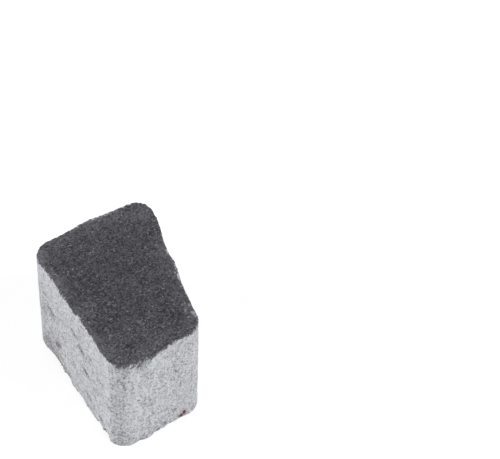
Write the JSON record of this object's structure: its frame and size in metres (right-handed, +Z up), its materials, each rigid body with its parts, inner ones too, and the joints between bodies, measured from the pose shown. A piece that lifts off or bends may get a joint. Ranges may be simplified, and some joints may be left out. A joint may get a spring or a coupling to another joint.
{
  "type": "paving block",
  "caption": "Tapered cast concrete paving block with gently wavy upright sides, rounded corners and a rough dark wearing face, laid on sand beside others as a hard surface.",
  "frame": {"origin": "middle of the flat underside, at the centre of the block's box in plan", "axes": "+Z up through the thickness, +Y along the block from its narrow front side to its wide rear side, +X to the right along the rear side"},
  "size_m": [0.089, 0.1164, 0.08],
  "materials": {
    "concrete": "matt cast concrete: pale grey sides with drag marks and small air holes, and a dark anthracite wearing face with a sandy grain"
  },
  "bodies": {
    "root": {"paving_block": "concrete"}
  },
  "joints": []
}
